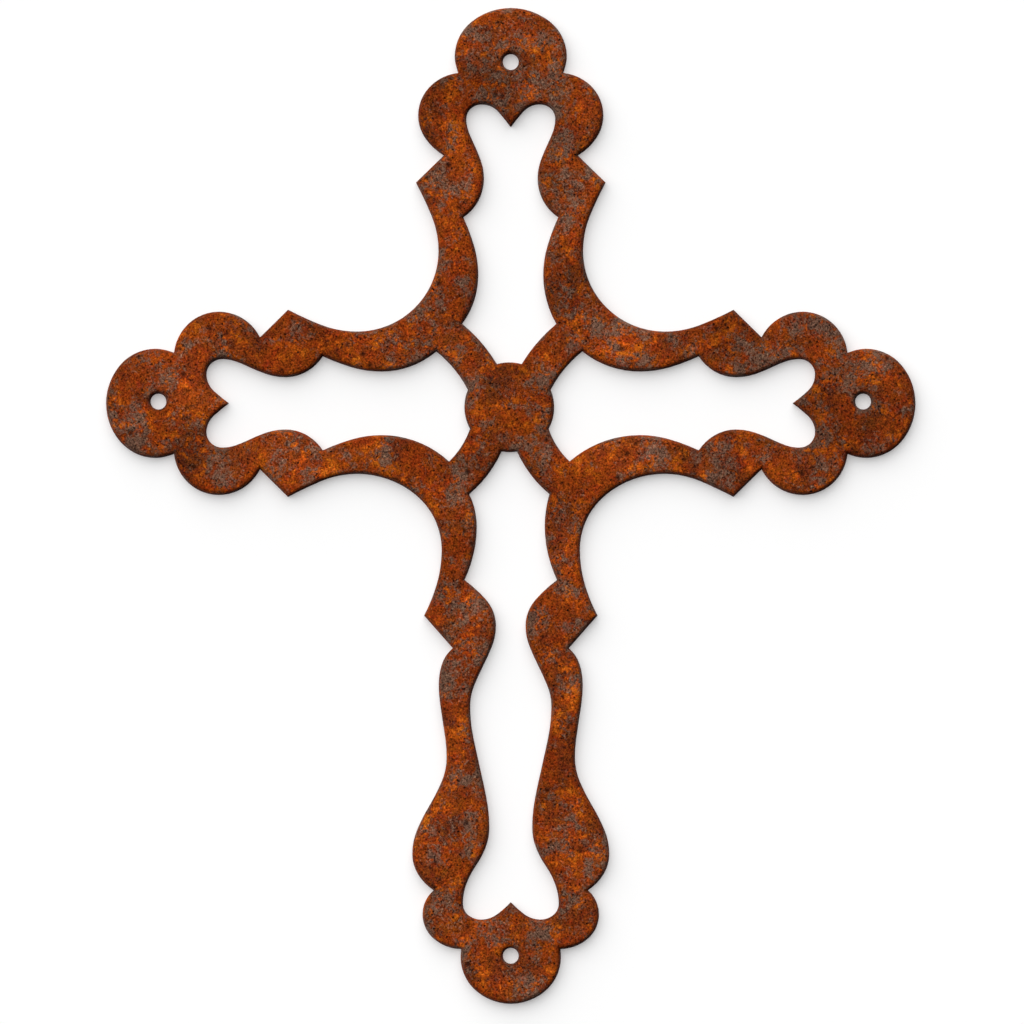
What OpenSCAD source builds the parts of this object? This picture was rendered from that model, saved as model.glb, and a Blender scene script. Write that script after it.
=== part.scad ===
// Wrought iron wall cross, cut from one flat plate.
//
// The cross stands upright in the XZ plane, its front towards -Y and its back on y = 0.
// The origin is on the back, where the centre lines of the arms cross. Millimetres.
//
// Four arms meet in a round boss on four curved bars. Each arm ends in a trefoil: a round
// end between two side lobes, with a pointed barb behind each lobe. Each arm has one window
// that ends in a heart. Every curve is a run of circular arcs through named stations, where
// the outline is at its widest or its narrowest, so it runs parallel with the arm there.
//
// Sizes in threes are for the top arm, the side arms and the foot arm, in that order.
// "Back" is a distance from an arm's tip towards the crossing, and "half" is a half width.

/* [Overall] */
// Height over the tips of the top arm and the foot arm
overall_height = 406; // [330:1:500]
// Width over the tips of the side arms
overall_width = 330; // [270:1:410]
// From the crossing up to the tip of the top arm
top_reach = 161.2; // [134:0.1:200]
// Thickness of the plate
plate_thickness = 5; // [3:0.5:10]

/* [Screw holes] */
// Diameter of the four round screw holes
screw_hole_d = 6.4; // [4:0.1:9]
// Centre of the screw hole, back from the tip of its arm
screw_hole_back = [22.1, 21.4, 19.6]; // [14:0.1:28]
// Height of the side arms' screw holes above their centre line
side_hole_rise = 0.7; // [-3:0.1:3]

/* [Round ends] */
// Widest point of the round end, back from the tip
end_back = [19.9, 20.2, 19.1]; // [17:0.1:22]
// Half width of the round end
end_half = [22.9, 22.3, 20.5]; // [18:0.1:27]
// Sharp neck between the round end and the side lobes, back from the tip
neck_back = [26.5, 27.7, 22.3]; // [22.1:0.1:30]
// Half width at the neck
neck_half = [21.5, 20.7, 20.3]; // [17:0.1:22.5]
// Direction in which the outline leaves the neck for the round end, in degrees
neck_flare = [18, 21, 0]; // [0:1:30]

/* [Side lobes] */
// Widest point of the side lobes, back from the tip
lobe_back = [43.8, 46, 36.5]; // [33:0.1:47]
// Half width over the side lobes
lobe_half = [37.8, 37.4, 36]; // [34:0.1:44]
// Direction in which a lobe turns in to the neck, in degrees
lobe_turn = [84, 84, 89]; // [70:1:90]
// Notch behind the lobes, back from the tip
notch_back = [60.2, 62.8, 46.3]; // [45:0.1:66]
// Half width at the notch
notch_half = [27.4, 27, 31.5]; // [24:0.1:33]
// Direction in which the outline leaves the notch for the lobe, in degrees
notch_turn = [59, 63, 50]; // [40:1:70]

/* [Barbs] */
// Points of the top barbs and the side barbs, back from the tip
barb_back = [71.2, 74.2]; // [68:0.1:80]
// Points of the foot barbs, from the crossing
foot_barb_reach = 86.5; // [72:0.1:104]
// Half width over the points of the barbs
barb_half = [38.7, 38.2, 35.4]; // [34:0.1:44]
// Direction in which the flanks run out into the barbs, in degrees
barb_slope = 28; // [15:1:35]

/* [Flanks between the arms] */
// Half width of the waist: top arm, side arm above, side arm below, foot arm
flank_half = [29.5, 29.3, 28.8, 28.2]; // [26:0.1:32]
// Place of the waist, as a share of the way from the crossing to the barbs
flank_share = 0.69; // [0.62:0.01:0.76]

/* [Boss and bars] */
// Diameter of the round boss
boss_d = 36.7; // [28:0.1:45]
// Centre of the boss, to the right of the crossing
boss_right = -0.6; // [-3:0.1:3]
// Centre of the boss, below the crossing
boss_drop = 1.6; // [-1:0.1:4]
// Width of the four curved bars
bar_width = 15.5; // [11:0.1:19]
// Centre of curvature of the two upper bars, outward from the centre of the boss
upper_bar_out = 59.4; // [54:0.1:66]
// Centre of curvature of the two upper bars, below the centre of the boss
upper_bar_drop = 14.9; // [10:0.1:20]
// Radius of the centre line of the two upper bars
upper_bar_r = 55.6; // [50:0.1:60]
// Centre of curvature of the two lower bars, outward from the centre of the boss
lower_bar_out = 47.7; // [45:0.1:54]
// Centre of curvature of the two lower bars, below the centre of the boss
lower_bar_drop = -2.1; // [-6:0.1:4]
// Radius of the centre line of the two lower bars
lower_bar_r = 41.2; // [37:0.1:44]
// Window corners at the bars, from the boss's centre: top, side above, side below, foot
corner_reach = [39, 37.4, 33, 39]; // [30:0.1:44]

/* [Windows] */
// Half width of the throat, the narrow place nearest to the bars
throat_half = [13.2, 12.9, 13.8]; // [10:0.1:16]
// Place of the throat, as a share of the way from the crossing to the barbs
throat_share = 0.58; // [0.5:0.01:0.64]
// Outer corner of the window, inward from the barbs
ear_inset = [14.2, 14.2, 14.5]; // [10:0.1:18]
// Half width at the outer corner
ear_half = [19.3, 19.1, 18.8]; // [16:0.1:22]
// Direction in which the throat opens to the outer corner, in degrees
ear_slope = 25; // [15:1:35]
// Direction in which the outline closes again from the outer corner, in degrees
ear_turn = [57, 57, 54]; // [45:1:70]
// Waist between the outer corner and the heart, outward from the barbs
waist_past = [1.6, 1, 4.2]; // [0:0.1:8]
// Half width of the waist
waist_half = [10.9, 10.6, 6]; // [4:0.1:13]
// Slope from the waist, or from the narrow place in the foot, to the heart, in degrees
heart_slope = [26, 26, 35]; // [20:1:40]
// Where that slope is reached between waist and heart, as a share of the way
heart_slope_share = 0.6; // [0.5:0.05:0.7]
// Half width of the heart
heart_half = [18.1, 18, 19.5]; // [16:0.1:23]
// Widest point of the heart, back from the tip
heart_back = [45.2, 47.4, 40.8]; // [40:0.1:50]
// Round tops of the heart, back from the tip
heart_top_back = [39.4, 41, 34.4]; // [32:0.1:43]
// Half of the distance between the tops of the heart
heart_top_half = [11.8, 11.8, 12.1]; // [8:0.1:14]
// Cusp of the heart, back from the tip
cusp_back = [48.7, 50.2, 41.5]; // [40:0.1:54]
// Angle between the edge and the arm's centre line at the cusp, in degrees
cusp_turn = [37, 36, 44]; // [30:1:60]

/* [Foot arm] */
// Notch behind the foot barbs, outward from the barbs
foot_notch_past = 13.3; // [10:0.1:18]
// Half width at that notch
foot_notch_half = 23.7; // [20:0.1:27]
// Direction in which the outline leaves that notch, in degrees
foot_notch_turn = 50; // [30:1:60]
// Half width of the hip, the upper bulge of the shank between the two notches
hip_half = 29.4; // [27:0.1:34]
// Place of the hip, as a share of the way from notch to notch
hip_share = 0.15; // [0.12:0.01:0.22]
// Half width of the shank where it is narrowest
shank_half = 26.2; // [24:0.1:28]
// Place where the shank is narrowest, as a share of the way from notch to notch
shank_share = 0.45; // [0.36:0.01:0.5]
// Slope from the hip to the narrow shank, in degrees
hip_slope = 9; // [6:1:14]
// Half width of the flare above the lower notch
flare_half = 40.2; // [36:0.1:44]
// Place of the flare, as a share of the way from notch to notch
flare_share = 0.85; // [0.78:0.01:0.88]
// Slope from the narrow shank to the flare, in degrees
flare_slope = 31; // [24:1:40]
// Direction in which the flare turns in to the lower notch, in degrees
flare_turn = 57; // [50:1:75]
// Half width of the window at its bulge in the hip
foot_bulge_half = 16.5; // [13:0.1:20]
// Place of the bulge, as a share of the way from notch to notch
foot_bulge_share = 0.24; // [0.22:0.01:0.32]
// Slope from the waist to the bulge, in degrees
foot_bulge_slope = 27; // [20:1:34]
// Half width of the window where it narrows again above the heart
foot_narrow_half = 8.7; // [7:0.1:12]
// Place where it is narrowest, as a share of the way from notch to notch
foot_narrow_share = 0.74; // [0.66:0.01:0.8]
// Slope from the bulge to the narrow place, in degrees
foot_narrow_slope = 13; // [8:1:16]

/* [Hidden] */
iron_colour = [0.42, 0.27, 0.20];

// Furthest that a chord may lie inside its arc
arc_tolerance = 0.04;
// Arcs that turn by less than this, in degrees, are straight lines
least_turn = 0.01;
// Arcs of a smaller radius get the chords of this one
least_r = 1;
// Sides of the screw holes, and how far their cutters reach past each face
hole_sides = 48;
overcut = 1;

TOP = 0;
SIDE = 1;
FOOT = 2;

// Length of each arm, and the place of its barbs, from the crossing
reach = [top_reach, overall_width / 2, overall_height - top_reach];
barb_reach = [reach[TOP] - barb_back[TOP], reach[SIDE] - barb_back[SIDE], foot_barb_reach];

// The shank of the foot arm, from notch to notch
foot_notch = foot_barb_reach + foot_notch_past;
shank_end = reach[FOOT] - notch_back[FOOT];
function along_shank(share) = foot_notch + (shank_end - foot_notch) * share;

boss_r = boss_d / 2;

// ---- plane geometry ----

function unit(a) = [cos(a), sin(a)];
function turned(p, q) = p[0] * q[1] - p[1] * q[0];
function reversed(list) = [for (i = [len(list) - 1:-1:0]) list[i]];
function mix(a, b, k) = a + (b - a) * k;

function rest(list) = [for (i = [1:1:len(list) - 1]) list[i]];

// From [along, across] to [x, y] on the top arm and the foot arm, and to the other half
function on_top_arm(list) = [for (p = list) [p[1], p[0]]];
function on_foot_arm(list) = [for (p = list) [p[1], -p[0]]];
function flipped(list) = [for (p = list) [p[0], -p[1]]];

// The arc that leaves p in direction a and ends at q, without q itself
function arc(p, a, q) =
    let (chord = q - p,
         half = atan2(turned(unit(a), chord), unit(a) * chord),
         straight = abs(half) < least_turn,
         r = straight ? least_r : norm(chord) / 2 / abs(sin(half)),
         step = 2 * acos(1 - arc_tolerance / max(r, least_r)),
         n = straight ? 1 : ceil(2 * abs(half) / step))
    [for (i = [0:n - 1])
        let (turn = half * i / n)
            straight ? p : p + norm(chord) * sin(turn) / sin(half) * unit(a + turn)];

// The arc about c from p to q, the short way round, without q itself
function arc_about(c, p, q) =
    let (out = p - c, way = turned(out, q - c) > 0 ? 90 : -90)
    arc(p, atan2(out[1], out[0]) + way, q);

// Two arcs that leave p in direction a and arrive at q in direction b, without q itself
function blend(p, a, q, b) =
    let (t = unit(a), s = unit(b), v = q - p,
         m = 2 * v * (t + s),
         d = 2 * v * v / (m + sqrt(m * m + 8 * (1 - t * s) * (v * v))),
         p1 = p + d * t,
         q1 = q - d * s)
    concat(arc(p, a, (p1 + q1) / 2),
           arc((p1 + q1) / 2, atan2(q1[1] - p1[1], q1[0] - p1[0]), q));

// From a widest place to a narrowest or the other way round, with slope a at that share of it
function swing(p, q, a, share = 0.5) =
    let (way = q[1] > p[1] ? a : -a, mid = mix(p, q, share))
    concat(blend(p, 0, mid, way), blend(mid, way, q, 0));

// Where two circles meet, on the left (side = 1) or the right (side = -1) of the line
// from the first centre to the second
function meet(c1, r1, c2, r2, side) =
    let (d = norm(c2 - c1), e = (c2 - c1) / d,
         x = (d * d + r1 * r1 - r2 * r2) / 2 / d)
    c1 + x * e + side * sqrt(r1 * r1 - x * x) * [-e[1], e[0]];

// ---- outer outline: half arms run towards the tip, as [along the arm, across it] ----

// From the notch round a side lobe and the round end to the tip
function half_end(i) =
    let (notch = [reach[i] - notch_back[i], notch_half[i]],
         lobe = [reach[i] - lobe_back[i], lobe_half[i]],
         neck = [reach[i] - neck_back[i], neck_half[i]],
         end = [reach[i] - end_back[i], end_half[i]])
    concat(blend(notch, notch_turn[i], lobe, 0),
           blend(lobe, 0, neck, -lobe_turn[i]),
           blend(neck, neck_flare[i], end, 0),
           blend(end, 0, [reach[i], 0], -90));

// The foot arm's shank, from the notch behind its barbs to the notch behind its lobes
function half_shank() =
    let (start = [foot_notch, foot_notch_half],
         hip = [along_shank(hip_share), hip_half],
         slim = [along_shank(shank_share), shank_half],
         flare = [along_shank(flare_share), flare_half])
    concat(blend(start, foot_notch_turn, hip, 0),
           swing(hip, slim, hip_slope),
           swing(slim, flare, flare_slope),
           blend(flare, 0, [shank_end, notch_half[FOOT]], -flare_turn));

function half_arm(i) = i == FOOT ? concat(half_shank(), half_end(i)) : half_end(i);

// The flank from the barb of an upright arm, i, to the barb of the side arm, as [x, y].
// It lies above the side arm (up = 1) or below it (up = -1).
function flank(i, up, half, side_half) =
    let (barb = [barb_half[i], up * barb_reach[i]],
         waist = [half, up * barb_reach[i] * flank_share],
         side_waist = [barb_reach[SIDE] * flank_share, up * side_half],
         side_barb = [barb_reach[SIDE], up * barb_half[SIDE]])
    concat(blend(barb, -up * (90 + barb_slope), waist, -up * 90),
           blend(waist, -up * 90, side_waist, 0),
           blend(side_waist, 0, side_barb, up * barb_slope),
           [side_barb]);

// The right half of the outline, from the top tip round to the foot tip
function right_half() =
    concat([[0, reach[TOP]]],
           reversed(on_top_arm(half_arm(TOP))),
           flank(TOP, 1, flank_half[0], flank_half[1]),
           half_arm(SIDE),
           [[reach[SIDE], 0]],
           reversed(flipped(half_arm(SIDE))),
           reversed(flank(FOOT, -1, flank_half[3], flank_half[2])),
           on_foot_arm(half_arm(FOOT)),
           [[0, -reach[FOOT]]]);

function outline() =
    let (half = right_half())
    concat(half, [for (i = [len(half) - 2:-1:1]) [-half[i][0], half[i][1]]]);

// ---- windows: half windows run from the boss to the cusp, as [along, across] ----

// c is the centre of the boss, and bar the way from there to the bar's centre of curvature
function half_window(i, c, bar, bar_r, corner_r) =
    let (side = i == SIDE ? 1 : -1,
         edge_r = bar_r - side * bar_width / 2,
         at_boss = meet(c, boss_r, c + bar, edge_r, side),
         corner = meet(c, corner_r, c + bar, edge_r, side),
         throat = [barb_reach[i] * throat_share, throat_half[i]],
         ear = [barb_reach[i] - ear_inset[i], ear_half[i]],
         waist = [barb_reach[i] + waist_past[i], waist_half[i]],
         bulge = [along_shank(foot_bulge_share), foot_bulge_half],
         slim = [along_shank(foot_narrow_share), foot_narrow_half],
         heart = [reach[i] - heart_back[i], heart_half[i]],
         heart_top = [reach[i] - heart_top_back[i], heart_top_half[i]],
         cusp = [reach[i] - cusp_back[i], 0])
    concat(arc_about(c + bar, at_boss, corner),
           arc(corner, 2 * atan2(throat[1] - corner[1], throat[0] - corner[0]), throat),
           blend(throat, 0, ear, ear_slope),
           blend(ear, -ear_turn[i], waist, 0),
           i == FOOT ? concat(swing(waist, bulge, foot_bulge_slope),
                              swing(bulge, slim, foot_narrow_slope),
                              swing(slim, heart, heart_slope[i]))
                     : swing(waist, heart, heart_slope[i], heart_slope_share),
           blend(heart, 0, heart_top, -90),
           blend(heart_top, -90, cusp, cusp_turn[i] - 180),
           [cusp]);

// Two halves, one on each side of the arm's centre line, closed along the boss
function window(c, one, other) =
    let (far = rest(reversed(flipped(other))))
    concat(one, far, rest(arc_about(c, far[len(far) - 1], one[0])));

// The window of an upright arm, and of a side arm, with c the boss's centre seen along it
function upright_window(i, c, bar, bar_r, corner_r) =
    window(c, half_window(i, c, bar, bar_r, corner_r),
           half_window(i, [c[0], -c[1]], bar, bar_r, corner_r));
function side_window(c) =
    window(c, half_window(SIDE, c, [upper_bar_out, -upper_bar_drop], upper_bar_r, corner_reach[1]),
           half_window(SIDE, [c[0], -c[1]], [lower_bar_out, lower_bar_drop], lower_bar_r,
                       corner_reach[2]));

// ---- sub-parts, drawn flat, with x to the right and y up the cross ----

module blank() {
    polygon(outline());
}

module upright_windows() {
    polygon(on_top_arm(upright_window(TOP, [-boss_drop, boss_right],
        [-upper_bar_drop, upper_bar_out], upper_bar_r, corner_reach[0])));
    polygon(on_foot_arm(upright_window(FOOT, [boss_drop, boss_right],
        [lower_bar_drop, lower_bar_out], lower_bar_r, corner_reach[3])));
}

module side_windows() {
    polygon(side_window([boss_right, -boss_drop]));
    mirror([1, 0])
        polygon(side_window([-boss_right, -boss_drop]));
}

module screw_holes() {
    for (at = [[0, reach[TOP] - screw_hole_back[TOP]],
               [reach[SIDE] - screw_hole_back[SIDE], side_hole_rise],
               [screw_hole_back[SIDE] - reach[SIDE], side_hole_rise],
               [0, screw_hole_back[FOOT] - reach[FOOT]]])
        translate([at[0], at[1], -overcut])
            cylinder(d = screw_hole_d, h = plate_thickness + 2 * overcut, $fn = hole_sides);
}

module cross() {
    color(iron_colour)
        rotate([90, 0, 0])
            difference() {
                linear_extrude(plate_thickness)
                    difference() {
                        blank();
                        upright_windows();
                        side_windows();
                    }
                screw_holes();
            }
}

// ---- nodes ----

cross();
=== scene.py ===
"""Rusted wrought iron cross on a white wall, seen straight on.

The cross is one flat plate. Its outline comes from the CAD node. This script gives the plate
rounded edges, the relief of rust and a rust material, and sets the wall, lamps and camera.
"""
import math

import bpy
import numpy as np
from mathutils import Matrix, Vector
from mathutils.geometry import delaunay_2d_cdt
from mathutils.kdtree import KDTree

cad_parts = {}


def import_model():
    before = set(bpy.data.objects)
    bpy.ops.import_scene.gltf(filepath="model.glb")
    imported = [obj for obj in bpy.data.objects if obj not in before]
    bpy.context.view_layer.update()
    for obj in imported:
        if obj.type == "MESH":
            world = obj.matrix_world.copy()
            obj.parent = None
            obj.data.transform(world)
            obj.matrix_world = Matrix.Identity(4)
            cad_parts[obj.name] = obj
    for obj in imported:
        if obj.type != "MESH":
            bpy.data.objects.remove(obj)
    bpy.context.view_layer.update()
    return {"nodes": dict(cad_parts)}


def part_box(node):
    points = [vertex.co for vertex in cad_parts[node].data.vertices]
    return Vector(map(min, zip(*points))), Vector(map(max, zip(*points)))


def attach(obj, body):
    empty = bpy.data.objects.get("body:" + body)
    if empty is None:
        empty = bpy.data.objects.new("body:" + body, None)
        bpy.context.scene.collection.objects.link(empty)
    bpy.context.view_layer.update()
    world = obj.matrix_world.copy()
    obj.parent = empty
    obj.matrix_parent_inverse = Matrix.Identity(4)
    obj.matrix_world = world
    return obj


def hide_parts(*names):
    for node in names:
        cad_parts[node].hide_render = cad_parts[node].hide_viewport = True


MM = 0.001

# ---- the plate's mesh, in metres ----
EDGE_STEP = 0.9 * MM        # spacing of points along the outline
CORNER_ANGLE = 20           # degrees of turn that make a point of the outline a corner
FRONT_STEP = 0.86 * MM      # spacing of points over the front face
BACK_STEP = 1.7 * MM        # and over the back
LEAN = 0.6 * MM             # how far the sides lean inward from back to front
ROUND_WIDTH = 1.0 * MM      # rounding of the front edge, seen from the front
ROUND_DEPTH = 2.0 * MM      # and from the side
BACK_RADIUS = 0.5 * MM      # rounding of the back edge
FRONT_ROUND = (0, 20, 38, 56, 74, 90)   # degrees round the front edge, from the face to the side
BACK_ROUND = (90, 45, 0)
INSET = LEAN + ROUND_WIDTH  # from the outline to the flat of the front
INSET_STRETCH = 2           # most that an inset grows at a corner, in times its size
CORNER_CLEAR = 1.6 * INSET  # stretch with no points beside a tip, so that its insets don't cross
GRID_CLEAR = 0.62           # least gap between a face's inner points and its border, in steps
POINT_DIGITS = 7            # decimals by which points of the CAD mesh are told apart
FACE_SLACK = 0.001 * MM     # how far a front face of the CAD mesh may reach behind the foremost point
JOIN_DISTANCE = 1e-9        # how near two points are when the triangulation takes them as one
TRIANGLES_INSIDE = 1        # the triangulation's setting for triangles between the loops only

# ---- the relief of rust, in metres ----
RELIEF_DEPTH = 0.16 * MM    # deepest of the rust's general relief
PIT_DEPTH = 0.30 * MM       # deepest of the corrosion pits
EDGE_WAVER = 0.07 * MM      # how far rust has eaten into the outline
CRUST_SIZE = 9 * MM         # patches of the general relief
CRUST_SEED = 11
PIT_SPACING = 9 * MM        # lattice of the pits
PIT_SHARE = 0.4             # share of its cells that have a pit
PIT_RADII = (0.6 * MM, 1.6 * MM)
PIT_SEED = 31
WAVER_SIZE = 6 * MM         # waves of the eaten outline
WAVER_SEED = 51

# ---- the relief's random numbers: how a cell of a lattice is scrambled into one ----
CELL_FACTORS = (73856093, 19349663, 83492791)
SEED_FACTOR = 2654435761
SCRAMBLE_ROUNDS = ((15, 0x2C1B3C6D), (12, 0x297A2D39))     # shift and factor of each
LAST_SHIFT = 15
VALUE_BITS = 32
LATTICE_OFFSET = 4096       # cells, so that no cell's number is below 0


def colour(red, green, blue):
    """A colour given as 0 to 255 on a screen, as the renderer's linear RGBA."""
    shares = [c / 255 for c in (red, green, blue)]
    return (*[((c + 0.055) / 1.055) ** 2.4 if c > 0.04 else c / 12.92 for c in shares], 1.0)


# ---- colours of the rust, and its gloss ----
BROWN = colour(108, 45, 19)
RUSSET = colour(131, 51, 14)
MAROON = colour(82, 36, 22)
ORANGE = colour(157, 66, 12)
AMBER = colour(184, 90, 24)
BARE = colour(89, 65, 54)
RIDGE = colour(172, 134, 104)
PIT = colour(28, 13, 9)
EDGE_SCALE_AND_SHADE = colour(36, 13, 6)     # dark scale of the cut edges, and painted shade on the edges that face down and to the right
RUST_ROUGHNESS = 0.9
BARE_ROUGHNESS = 0.65
RUST_SPECULAR = 0.02
BUMP_HEIGHT = 0.4 * MM

# ---- patterns of the rust: size in mm, seed, layers of detail, roughness and distortion ----
FLECK = (2.4, 1, 3, 0.6, 0.8)
GRAIN = (0.8, 2, 1, 0.5, 0.0)
CLOUD = (14, 3, 4, 0.55, 0.5)
BLOOM = (10, 4, 4, 0.6, 0.4)
SCOUR = (11, 5, 4, 0.6, 0.3)
SPARKLE = (0.7, 8, 1, 0.5, 0.0)
ZONE = (45, 9, 2, 0.5, 0.0)
CURL = (1.7, 10, 1, 0.5, 0.6)
TINT = (5, 12, 4, 0.7, 0.6)
MIDDLE = 0.5                # of every pattern
SEED_SHIFT = (37.0, 11.0, 23.0)     # mm between the places of one seed and the next
GRAIN_IN_FINE = 0.3         # share of grain on the flecks, where borders and bumps are fine
SMALL_PITS = (2.6, 6, 0.5, 1.9)     # spacing in mm, seed, share of cells, and largest size in mm
SPOT_CORE = 0.55            # share of a spot's radius that is at its full depth
SPOT_LEAST = 0.02           # added to a spot's radius, in cells, so that none is 0

# ---- patches: where each starts and is full on its pattern, and how far flecks move its border ----
RUSSET_ON_CLOUD = (0.42, 0.58, 0.42)
MAROON_ON_CLOUD = (0.44, 0.33, -0.6)
ORANGE_ON_BLOOM = (0.52, 0.64, -0.65)
AMBER_ON_BLOOM = (0.62, 0.78, -0.9)
BARE_ON_SCOUR = (0.475, 0.67, 0.6)

# ---- shares of one colour on another, and swings of the brightness with the patterns ----
BARE_SHARE = 0.9
CREST_SHARE = 0.36          # of amber on the rust's crests
BARE_CREST_SHARE = 0.42     # of pale ridges on the crests of bare patches
PIT_SHADE = 0.9
BASE_BRIGHTNESS = 1.05
GRAIN_SWING = 1.3
SPARKLE_SWING = 2.8
ZONE_SWING = 1.5
TINT_SWING = 1.4            # of the green alone, between redder and yellower rust
CRACK_SHADE = 0.4
PIT_IN_BUMP = 0.5           # depth of a pit in the bumps, where a fleck's whole pattern is 1 high

# ---- widths of the lines where a pattern crosses its middle, on that pattern ----
SPARKLE_CREST = 0.05
CURL_CREST = 0.035
GRAIN_CRACK = 0.05
FLECK_CRACK = 0.025

# ---- the plate's edges: distances in mm from the outline ----
CUT_REACH = (1.1, 0.3)      # where the dark scale and painted shade of the edges start and are full
RIM_REACH = (0.8, 4.0)      # where the painted shade beside the outline starts to lighten, and where it ends
# brightness of the painted shade at the outline
RIM_BRIGHTNESS = 0.85
SHADED_EDGES = (0.55, 0, -0.85)    # direction of the edges that get the most painted shade, away from the key lamp
PAINTED_SHADE_SHARE = 0.6         # share of the edges' darkening that is painted shade, coming and going with that direction
EDGE_SCALE_SHARE = 0.42         # and share that is dark scale, on the edges all round

# ---- wall, lamps and camera; a brightness of 1 lights white as white ----
WALL_GAP = 0.3 * MM         # from the plate's back to the wall
WALL_REACH = 600 * MM       # from the middle of the wall to its sides
WALL_SEEN = 0.84            # paint of the wall where it is seen, and the glow that makes it white
WALL_GLOW = 0.17
WALL_UNSEEN = 0.25          # paint of the wall for the light that it throws on the object
ROOM_LIGHT = 0.09
KEY_TOWARD = (-0.29, -0.73, 0.62)
KEY_LIGHT = 0.91
KEY_SOFTNESS = 98           # degrees across
BACK_LEFT_TOWARD = (0.6, 0.65, 0.5)     # the two lamps behind, which light only the back
BACK_RIGHT_TOWARD = (-0.6, 0.65, -0.4)
BACK_LIGHT = 0.45           # of each of them
BACK_SOFTNESS = 30
SENSOR_WIDTH = 36 * MM
LENS = 400 * MM
VIEW_WIDTH = 417 * MM       # width of the picture at the plate's front
AIM_RIGHT = 0.5 * MM        # where the camera aims, from the middle of the plate
AIM_DROP = 2.5 * MM


# ---- noise for the relief: smooth random values on a lattice, the same on every run ----

def lattice_value(cells, seed):
    """A repeatable random number from 0 to 1 for each integer cell (n, 3)."""
    mixed = cells.astype(np.uint64) * np.array(CELL_FACTORS, np.uint64)
    mixed = mixed[:, 0] ^ mixed[:, 1] ^ mixed[:, 2] ^ np.uint64(seed * SEED_FACTOR)
    for shift, factor in SCRAMBLE_ROUNDS:
        mixed = (mixed ^ (mixed >> np.uint64(shift))) * np.uint64(factor)
        mixed &= np.uint64(2**VALUE_BITS - 1)
    mixed ^= mixed >> np.uint64(LAST_SHIFT)
    return mixed.astype(np.float64) / 2**VALUE_BITS


def noise(points, size, seed):
    """Smooth noise from 0 to 1 at points (n, 3), with bumps about `size` metres apart."""
    place = points / size + LATTICE_OFFSET
    cell = np.floor(place)
    along = place - cell
    along = along * along * (3 - 2 * along)
    total = np.zeros(len(points))
    for corner in np.ndindex(2, 2, 2):
        weight = np.prod(np.where(corner, along, 1 - along), axis=1)
        total += weight * lattice_value((cell + corner).astype(np.int64), seed)
    return total


def layered_noise(points, size, seed, layers=3, gain=0.55):
    """Several layers of noise, each half the size of the last and `gain` times its height."""
    total = np.zeros(len(points))
    height = 0.0
    weight = 1.0
    for k in range(layers):
        total += weight * noise(points, size / 2**k, seed + k)
        height += weight
        weight *= gain
    return total / height


# ---- the outline, from the front face of the CAD node ----

def front_loops(node):
    """The closed outlines of the node's front face, as arrays (n, 2) of x and z."""
    mesh = node.data
    co = np.array([v.co for v in mesh.vertices])
    front = co[:, 1].min()
    places = [tuple(np.round(c, POINT_DIGITS)) for c in co]
    sides = []
    for poly in mesh.polygons:
        ring = [places[i] for i in poly.vertices]
        if max(y for _, y, _ in ring) <= front + FACE_SLACK:
            sides += zip(ring, ring[1:] + ring[:1])
    known = set(sides)
    following = {a: b for a, b in sides if (b, a) not in known}
    loops = []
    while following:
        start, point = following.popitem()
        ring = [start]
        while point != start:
            ring.append(point)
            point = following.pop(point)
        loops.append(np.array([(x, z) for x, _, z in ring]))
    return loops


def steps_beside(loop):
    """For each point of a loop, the step that leads to it and the step that leads on."""
    onward = np.roll(loop, -1, axis=0) - loop
    return np.roll(onward, 1, axis=0), onward


def resampled(loop, step):
    """The loop with evenly spaced points, keeping its corners, and a clear stretch beside each tip."""
    before, after = steps_beside(loop)
    turn = np.arctan2(before[:, 0] * after[:, 1] - before[:, 1] * after[:, 0],
                      (before * after).sum(1))
    sharp = math.radians(CORNER_ANGLE)
    corners = list(np.nonzero(np.abs(turn) > sharp)[0]) or [0]
    out = []
    for a, b in zip(corners, corners[1:] + [corners[0] + len(loop)]):
        part = loop[np.arange(a, b + 1) % len(loop)]
        along = np.r_[0, np.cumsum(np.linalg.norm(np.diff(part, axis=0), axis=1))]
        start, end = [CORNER_CLEAR * (turn[k % len(loop)] > sharp) for k in (a, b)]
        count = max(2, round((along[-1] - start - end) / step) + 1)
        at = np.linspace(start, along[-1] - end, count)
        if start:
            at = np.r_[0, at]
        if not end:
            at = at[:-1]
        out.append(np.c_[np.interp(at, along, part[:, 0]), np.interp(at, along, part[:, 1])])
    return np.vstack(out)


def inward(loop):
    """For each point, the way into the material, long enough to keep an even inset."""
    before, after = [step / np.linalg.norm(step, axis=1)[:, None] for step in steps_beside(loop)]
    normal = np.c_[-(before + after)[:, 1], (before + after)[:, 0]]
    normal /= np.linalg.norm(normal, axis=1)[:, None]
    share = (normal * np.c_[-before[:, 1], before[:, 0]]).sum(1)
    return normal / np.clip(share, 1 / INSET_STRETCH, 1)[:, None]


def search_tree(loops):
    """A tree that finds the point of the loops nearest to a place (x, z, 0)."""
    edge = np.vstack(loops)
    tree = KDTree(len(edge))
    for i, (x, z) in enumerate(edge):
        tree.insert((x, z, 0), i)
    tree.balance()
    return tree


# ---- the faces of the plate ----

def crossings(loops, z):
    """Where the line at height z crosses the loops, from left to right."""
    ends = np.vstack([np.hstack([loop, np.roll(loop, -1, axis=0)]) for loop in loops])
    cut = ends[(ends[:, 1] > z) != (ends[:, 3] > z)]
    share = (z - cut[:, 1]) / (cut[:, 3] - cut[:, 1])
    return np.sort(cut[:, 0] + share * (cut[:, 2] - cut[:, 0]))


def inside(loops, point):
    """Whether a point lies in the material."""
    return np.searchsorted(crossings(loops, point[1]), point[0]) % 2 == 1


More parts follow.
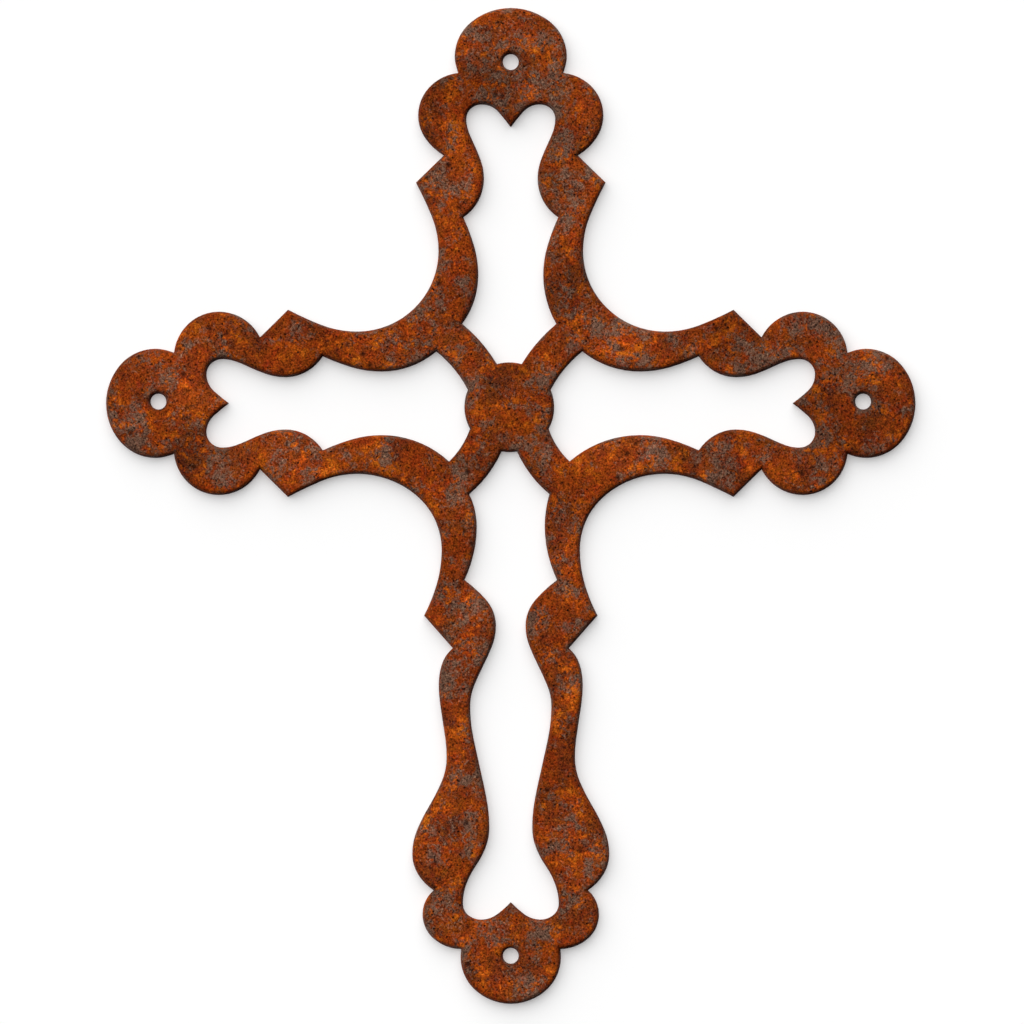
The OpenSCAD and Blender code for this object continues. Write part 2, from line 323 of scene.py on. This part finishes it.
def grid_inside(loops, step):
    """Points of a triangular grid in the material, clear of the loops."""
    tree = search_tree(loops)
    points = []
    row_height = step * math.sqrt(3) / 2
    low = min(loop[:, 1].min() for loop in loops)
    high = max(loop[:, 1].max() for loop in loops)
    for k in range(math.ceil(low / row_height), math.floor(high / row_height) + 1):
        z = k * row_height
        shift = (k % 2) / 2
        xs = crossings(loops, z)
        for left, right in zip(xs[::2], xs[1::2]):
            for i in range(math.ceil(left / step - shift), math.floor(right / step - shift) + 1):
                x = (i + shift) * step
                if tree.find((x, z, 0))[2] > GRID_CLEAR * step:
                    points.append((x, z))
    return points


def filled(loops, step):
    """A triangle mesh between the loops: extra points (n, 2) and faces, with the loops' points first."""
    edge = np.vstack(loops)
    extra = grid_inside(loops, step)
    links = []
    first = 0
    for loop in loops:
        n = len(loop)
        links += [(first + i, first + (i + 1) % n) for i in range(n)]
        first += n
    points = [Vector(p) for p in edge.tolist() + extra]
    made = delaunay_2d_cdt(points, links, [], TRIANGLES_INSIDE, JOIN_DISTANCE)
    _, _, faces, origins, *_ = made
    index = [origin[0] for origin in origins]
    kept = []
    for face in faces:
        face = [index[i] for i in face]
        if max(face) < len(edge) and not inside(loops, edge[face].mean(0)):
            continue
        kept.append(face)
    return np.array(extra), kept


def edge_profile(front, back):
    """Inset and y of each ring of points round the plate's edge, from the front face to the back."""
    rings = []
    for angle in map(math.radians, FRONT_ROUND):
        rings.append((INSET - ROUND_WIDTH * math.sin(angle),
                      front + ROUND_DEPTH * (1 - math.cos(angle))))
    foot = back - BACK_RADIUS
    rings.append((LEAN / 2, (rings[-1][1] + foot) / 2))
    for angle in map(math.radians, BACK_ROUND):
        rings.append((BACK_RADIUS * (1 - math.sin(angle)), foot + BACK_RADIUS * math.cos(angle)))
    return rings


def side_faces(outline, ring_count):
    """The four-sided faces between the rings of points round the plate's edge."""
    ring_size = sum(len(loop) for loop in outline)
    faces = []
    for k in range(ring_count - 1):
        first = k * ring_size
        for loop in outline:
            n = len(loop)
            for i in range(n):
                a = first + i
                b = first + (i + 1) % n
                faces.append((a, a + ring_size, b + ring_size, b))
            first += n
    return faces


def plate_mesh(node):
    """Points, faces and outline of the plate with rounded edges, before the rust's relief."""
    low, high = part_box("cross")
    outline = [resampled(loop, EDGE_STEP) for loop in front_loops(node)]
    ways = [inward(loop) for loop in outline]
    profile = edge_profile(low.y, high.y)

    ring_size = sum(len(loop) for loop in outline)
    co = []
    for inset, y in profile:
        ring = np.vstack([loop + way * inset for loop, way in zip(outline, ways)])
        co.append(np.c_[ring[:, 0], np.full(ring_size, y), ring[:, 1]])
    faces = side_faces(outline, len(profile))

    # the two caps: each one's step, its ring in the profile, and the turn of its faces
    for step, k, turn in ((FRONT_STEP, 0, 1), (BACK_STEP, len(profile) - 1, -1)):
        inset, y = profile[k]
        extra, cap = filled([loop + way * inset for loop, way in zip(outline, ways)], step)
        start = sum(len(c) for c in co)
        co.append(np.c_[extra[:, 0], np.full(len(extra), y), extra[:, 1]])
        for face in cap:
            face = [i + k * ring_size if i < ring_size else i - ring_size + start for i in face]
            faces.append(tuple(face[::turn]))
    return np.vstack(co), faces, outline


# ---- rust on the plate's surface ----

def distance_inside(co, outline):
    """How far each point (n, 3) is from the outline, seen from the front."""
    tree = search_tree(outline)
    return np.array([tree.find((x, z, 0))[2] for x, z in co[:, (0, 2)]])


def dents(points, spacing, share, radii, seed):
    """Depth from 0 to 1 of round pits at points (n, 3), one in `share` of a lattice's cells."""
    smallest, largest = radii
    base = np.floor(points / spacing)
    depth = np.zeros(len(points))
    for across, up in np.ndindex(3, 3):
        cell = base + np.array([across - 1, 0, up - 1])
        number = (cell + LATTICE_OFFSET).astype(np.int64)
        at_x = (cell[:, 0] + lattice_value(number, seed)) * spacing
        at_z = (cell[:, 2] + lattice_value(number, seed + 1)) * spacing
        radius = smallest + (largest - smallest) * lattice_value(number, seed + 2) ** 2
        away = np.hypot(points[:, 0] - at_x, points[:, 2] - at_z) / radius
        there = lattice_value(number, seed + 3) < share
        depth = np.maximum(depth, np.clip(1 - away**2, 0, 1) * there)
    return depth


def vectors(mesh, name):
    """One of the vectors that every point of the mesh has, as an array (n, 3)."""
    values = np.empty(len(mesh.vertices) * 3)
    mesh.vertices.foreach_get(name, values)
    return values.reshape(-1, 3)


def rust_relief(mesh, outline):
    """Sinks the surface by the relief of rust, and keeps what the material needs as attributes."""
    co = vectors(mesh, "co")
    normal = vectors(mesh, "normal")
    flat = normal[:, 1] ** 2
    crust = layered_noise(co, CRUST_SIZE, CRUST_SEED)
    pits = dents(co, PIT_SPACING, PIT_SHARE, PIT_RADII, PIT_SEED) * flat
    waver = layered_noise(co, WAVER_SIZE, WAVER_SEED)
    face_depth = RELIEF_DEPTH * (1 - crust) + PIT_DEPTH * pits
    depth = face_depth * flat + EDGE_WAVER * waver * (1 - flat)
    mesh.vertices.foreach_set("co", (co - normal * depth[:, None]).ravel())
    from_edge = distance_inside(co, outline) / MM
    for name, values in (("pits", pits), ("from_edge", from_edge)):
        mesh.attributes.new(name, "FLOAT", "POINT").data.foreach_set("value", values)


def cross_plate():
    """The rusted plate, in place of the CAD node."""
    co, faces, outline = plate_mesh(frame["nodes"]["cross"])
    mesh = bpy.data.meshes.new("cross_plate")
    mesh.from_pydata(co.tolist(), [], faces)
    mesh.update()
    rust_relief(mesh, outline)
    mesh.shade_smooth()
    mesh.materials.append(rusted_iron())
    plate = bpy.data.objects.new("cross_plate", mesh)
    bpy.context.collection.objects.link(plate)
    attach(plate, "root")
    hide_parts("cross")


# ---- materials ----

class Nodes:
    """A shader's nodes, with a short call for each kind used here."""

    def __init__(self, tree):
        tree.nodes.clear()
        self.tree = tree

    def add(self, kind, inputs, **settings):
        """A node, with its inputs by name or by place; each is a socket or a plain value."""
        node = self.tree.nodes.new("ShaderNode" + kind)
        for name, value in settings.items():
            setattr(node, name, value)
        for key, value in inputs.items():
            if isinstance(value, bpy.types.NodeSocket):
                self.tree.links.new(value, node.inputs[key])
            else:
                node.inputs[key].default_value = value
        return node

    def math(self, operation, *values):
        """The result of a Math node."""
        return self.add("Math", dict(enumerate(values)), operation=operation).outputs[0]

    def attribute(self, name):
        """A number that the mesh carries on its points."""
        return self.add("Attribute", {}, attribute_name=name).outputs["Fac"]

    def moved(self, place, seed):
        """The same place in another part of the noise."""
        shift = [seed * step for step in SEED_SHIFT]
        return self.add("VectorMath", {0: place, 1: shift}).outputs[0]

    def scaled(self, vector, factor):
        """The place, or the colour, times a factor."""
        return self.add("VectorMath", {0: vector, "Scale": factor}, operation="SCALE").outputs[0]

    def noise(self, place, size, seed, detail, roughness, distortion):
        """Noise from 0 to 1 about its middle, with patches about `size` mm across."""
        inputs = {"Vector": self.moved(place, seed), "Scale": 1 / size, "Detail": detail,
                  "Roughness": roughness, "Distortion": distortion}
        return self.add("TexNoise", inputs).outputs["Fac"]

    def step(self, value, low, high):
        """0 at `low`, 1 at `high` and smooth between; `high` may be the lower one."""
        inputs = {"Value": value, "From Min": low, "From Max": high}
        return self.add("MapRange", inputs, interpolation_type="SMOOTHSTEP").outputs["Result"]

    def blend(self, share, first, second):
        """The first colour with `share` of the second on it, through a Mix node's colour sockets."""
        return self.add("Mix", {0: share, 6: first, 7: second}, data_type="RGBA").outputs[2]


def spots(nodes, place, spacing, seed, share, size):
    """Round spots up to `size` mm across, in `share` of the cells `spacing` mm apart."""
    cells = nodes.add("TexVoronoi", {"Vector": nodes.moved(place, seed), "Scale": 1 / spacing})
    draws = nodes.add("SeparateColor", {0: cells.outputs["Color"]}).outputs
    there = nodes.math("LESS_THAN", draws[0], share)
    radius = nodes.math("MULTIPLY", draws[1], size / 2 / spacing)
    radius = nodes.math("ADD", radius, SPOT_LEAST)
    near = nodes.math("DIVIDE", cells.outputs["Distance"], radius)
    return nodes.math("MULTIPLY", there, nodes.step(near, 1.0, SPOT_CORE))


def lines(nodes, pattern, width):
    """Thin winding lines where the pattern crosses its middle."""
    away = nodes.math("ABSOLUTE", nodes.math("SUBTRACT", pattern, MIDDLE))
    return nodes.step(away, width, 0.0)


def swing(nodes, pattern, amount, middle=1.0):
    """A brightness that swings about `middle` as the pattern does about its own."""
    return nodes.math("MULTIPLY_ADD", nodes.math("SUBTRACT", pattern, MIDDLE), amount, middle)


def edge_scale_and_painted_shade(nodes, from_edge):
    """Dark scale on the edges all round, and painted shade where they face down or to the right."""
    normal = nodes.add("NewGeometry", {}).outputs["True Normal"]
    # painted shade: edges that face away from the key lamp get more of the dark colour
    facing = nodes.add("VectorMath", {0: normal, 1: SHADED_EDGES}, operation="DOT_PRODUCT")
    dark_share = nodes.math("MULTIPLY_ADD", facing.outputs["Value"], PAINTED_SHADE_SHARE, EDGE_SCALE_SHARE)
    return nodes.math("MULTIPLY", nodes.step(from_edge, *CUT_REACH), dark_share)


class RustPatterns:
    """The patterns of rust at each place on the plate, which its colour, gloss and bumps share."""

    def __init__(self, nodes):
        position = nodes.add("TexCoord", {}).outputs["Object"]
        place = nodes.scaled(position, 1 / MM)
        self.nodes = nodes
        self.fleck = nodes.noise(place, *FLECK)
        self.grain = nodes.noise(place, *GRAIN)
        self.cloud = nodes.noise(place, *CLOUD)
        self.bloom = nodes.noise(place, *BLOOM)
        self.scour = nodes.noise(place, *SCOUR)
        self.sparkle = nodes.noise(place, *SPARKLE)
        self.zone = nodes.noise(place, *ZONE)
        self.curl = nodes.noise(place, *CURL)
        self.tint = nodes.noise(place, *TINT)
        self.from_edge = nodes.attribute("from_edge")
        self.pits = nodes.math("MAXIMUM", nodes.attribute("pits"), spots(nodes, place, *SMALL_PITS))
        self.crests = nodes.math("MAXIMUM", lines(nodes, self.sparkle, SPARKLE_CREST),
                                 lines(nodes, self.curl, CURL_CREST))
        self.cracks = nodes.math("MAXIMUM", lines(nodes, self.grain, GRAIN_CRACK),
                                 lines(nodes, self.fleck, FLECK_CRACK))
        grainy = nodes.math("MULTIPLY_ADD", self.grain, GRAIN_IN_FINE, self.fleck)
        self.fine = nodes.math("SUBTRACT", grainy, MIDDLE * (1 + GRAIN_IN_FINE))
        self.bareness = nodes.math("MULTIPLY", self.ragged(self.scour, *BARE_ON_SCOUR), BARE_SHARE)

    def ragged(self, pattern, start, full, amount):
        """Patches of a pattern, whose borders are broken up by flecks and grain."""
        broken = self.nodes.math("MULTIPLY_ADD", self.fine, amount, pattern)
        return self.nodes.step(broken, start, full)


def rust_colour(nodes, rust):
    """Brown scale with russet, maroon and orange patches, and amber on its crests."""
    shade = nodes.blend(rust.ragged(rust.cloud, *RUSSET_ON_CLOUD), BROWN, RUSSET)
    shade = nodes.blend(rust.ragged(rust.cloud, *MAROON_ON_CLOUD), shade, MAROON)
    shade = nodes.blend(rust.ragged(rust.bloom, *ORANGE_ON_BLOOM), shade, ORANGE)
    shade = nodes.blend(rust.ragged(rust.bloom, *AMBER_ON_BLOOM), shade, AMBER)
    shade = nodes.blend(nodes.math("MULTIPLY", rust.crests, CREST_SHARE), shade, AMBER)
    green = swing(nodes, rust.tint, TINT_SWING)
    tint = nodes.add("CombineXYZ", {0: 1.0, 1: green, 2: 1.0}).outputs[0]
    return nodes.add("VectorMath", {0: shade, 1: tint}, operation="MULTIPLY").outputs[0]


def worn_colour(nodes, rust, shade):
    """The rust's colour with bare patches, pits, and the edges' dark scale and painted shade on it."""
    bare_crests = nodes.math("MULTIPLY", rust.crests, rust.bareness)
    shade = nodes.blend(rust.bareness, shade, BARE)
    shade = nodes.blend(nodes.math("MULTIPLY", bare_crests, BARE_CREST_SHARE), shade, RIDGE)
    shade = nodes.blend(nodes.math("MULTIPLY", rust.pits, PIT_SHADE), shade, PIT)
    return nodes.blend(edge_scale_and_painted_shade(nodes, rust.from_edge), shade, EDGE_SCALE_AND_SHADE)


def brightened(nodes, rust, shade):
    """The colour, lighter and darker with the grain, in wide zones and in cracks, with painted shade
    beside the outline.
    """
    # painted shade along the rounded edge: darker within RIM_REACH of the outline
    clear_of_rim_shade = nodes.step(rust.from_edge, *RIM_REACH)
    for factor in (
            swing(nodes, rust.grain, GRAIN_SWING, BASE_BRIGHTNESS),
            swing(nodes, rust.sparkle, SPARKLE_SWING),
            swing(nodes, rust.zone, ZONE_SWING),
            nodes.math("MULTIPLY_ADD", rust.cracks, -CRACK_SHADE, 1.0),
            nodes.math("MULTIPLY_ADD", clear_of_rim_shade, 1 - RIM_BRIGHTNESS, RIM_BRIGHTNESS)):
        shade = nodes.scaled(shade, factor)
    return shade


def rust_bump(nodes, rust):
    """Flecks and grain that stand up from the surface, and pits that sink into it."""
    height = nodes.math("ADD", rust.fine, rust.sparkle)
    height = nodes.math("SUBTRACT", height, nodes.math("MULTIPLY", rust.pits, PIT_IN_BUMP))
    bump = nodes.add("Bump", {"Strength": 1.0, "Distance": BUMP_HEIGHT, "Height": height})
    return bump.outputs[0]


def rusted_iron():
    """Old rust on iron: brown scale with orange bloom, bare grey-brown patches, pits and grain, and
    painted shade on its edges.
    """
    material = bpy.data.materials.new("rusted_iron")
    material.use_nodes = True
    nodes = Nodes(material.node_tree)
    rust = RustPatterns(nodes)
    shade = brightened(nodes, rust, worn_colour(nodes, rust, rust_colour(nodes, rust)))
    roughness = nodes.math(
        "MULTIPLY_ADD", rust.bareness, BARE_ROUGHNESS - RUST_ROUGHNESS, RUST_ROUGHNESS)
    bsdf = nodes.add("BsdfPrincipled", {
        "Base Color": shade, "Roughness": roughness, "Normal": rust_bump(nodes, rust),
        "Specular IOR Level": RUST_SPECULAR})
    nodes.add("OutputMaterial", {"Surface": bsdf.outputs[0]})
    return material


# ---- the wall, the lamps and the camera ----

def seen_ray(nodes):
    """1 for the rays that show the background: from the camera, or off gloss or through glass."""
    path = nodes.add("LightPath", {}).outputs
    glossy = nodes.math("MAXIMUM", path["Is Glossy Ray"], path["Is Transmission Ray"])
    return nodes.math("MAXIMUM", path["Is Camera Ray"], glossy)


def wall_paint():
    """White paint that keeps the object's shadow, and isn't there from behind or for lamps."""
    material = bpy.data.materials.new("wall_paint")
    material.use_nodes = True
    nodes = Nodes(material.node_tree)
    seen = seen_ray(nodes)
    whiteness = nodes.math("MULTIPLY_ADD", seen, WALL_SEEN - WALL_UNSEEN, WALL_UNSEEN)
    paint = nodes.add("BsdfDiffuse", {"Color": whiteness})
    glow = nodes.add("Emission", {"Strength": nodes.math("MULTIPLY", seen, WALL_GLOW)})
    lit = nodes.add("AddShader", {0: paint.outputs[0], 1: glow.outputs[0]})
    behind = nodes.add("NewGeometry", {}).outputs["Backfacing"]
    shadow = nodes.add("LightPath", {}).outputs["Is Shadow Ray"]
    clear = nodes.add("BsdfTransparent", {})
    gone = nodes.math("MAXIMUM", behind, shadow)
    surface = nodes.add("MixShader", {0: gone, 1: lit.outputs[0], 2: clear.outputs[0]})
    nodes.add("OutputMaterial", {"Surface": surface.outputs[0]})
    return material


def wall():
    """The wall that the cross hangs on, facing the camera."""
    low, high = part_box("cross")
    y = high.y + WALL_GAP
    middle = (low + high) / 2
    corners = [(middle.x + x * WALL_REACH, y, middle.z + z * WALL_REACH)
               for x, z in ((-1, -1), (1, -1), (1, 1), (-1, 1))]
    mesh = bpy.data.meshes.new("wall")
    mesh.from_pydata(corners, [], [(0, 1, 2, 3)])
    mesh.materials.append(wall_paint())
    backdrop = bpy.data.objects.new("wall", mesh)
    bpy.context.collection.objects.link(backdrop)


def world():
    """White where it is seen, and a weak even light on the object."""
    made = bpy.data.worlds.new("studio")
    made.use_nodes = True
    nodes = Nodes(made.node_tree)
    strength = nodes.math("MAXIMUM", seen_ray(nodes), ROOM_LIGHT)
    background = nodes.add("Background", {"Color": (1, 1, 1, 1), "Strength": strength})
    nodes.add("OutputWorld", {"Surface": background.outputs[0]})
    bpy.context.scene.world = made


def lamp(name, toward, brightness, softness):
    """A distant lamp `softness` degrees across, with its brightness on a surface like the wall."""
    direction = Vector(toward).normalized()
    light = bpy.data.lights.new(name, "SUN")
    light.energy = math.pi * brightness / abs(direction.y)
    light.angle = math.radians(softness)
    made = bpy.data.objects.new(name, light)
    made.rotation_euler = direction.to_track_quat("Z", "Y").to_euler()
    bpy.context.collection.objects.link(made)


def camera():
    """A long lens that looks straight at the wall, framed as the photograph is."""
    low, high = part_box("cross")
    lens = bpy.data.cameras.new("camera")
    lens.sensor_width = SENSOR_WIDTH / MM
    lens.lens = LENS / MM
    made = bpy.data.objects.new("camera", lens)
    distance = VIEW_WIDTH * LENS / SENSOR_WIDTH
    aim_x = (low.x + high.x) / 2 + AIM_RIGHT
    aim_z = (low.z + high.z) / 2 - AIM_DROP
    made.location = (aim_x, low.y - distance, aim_z)
    made.rotation_euler = (math.pi / 2, 0, 0)
    bpy.context.collection.objects.link(made)
    bpy.context.scene.camera = made


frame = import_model()

camera()
world()
wall()
lamp("key", KEY_TOWARD, KEY_LIGHT, KEY_SOFTNESS)
lamp("back_left", BACK_LEFT_TOWARD, BACK_LIGHT, BACK_SOFTNESS)
lamp("back_right", BACK_RIGHT_TOWARD, BACK_LIGHT, BACK_SOFTNESS)
cross_plate()

bpy.context.scene.view_settings.view_transform = "Standard"
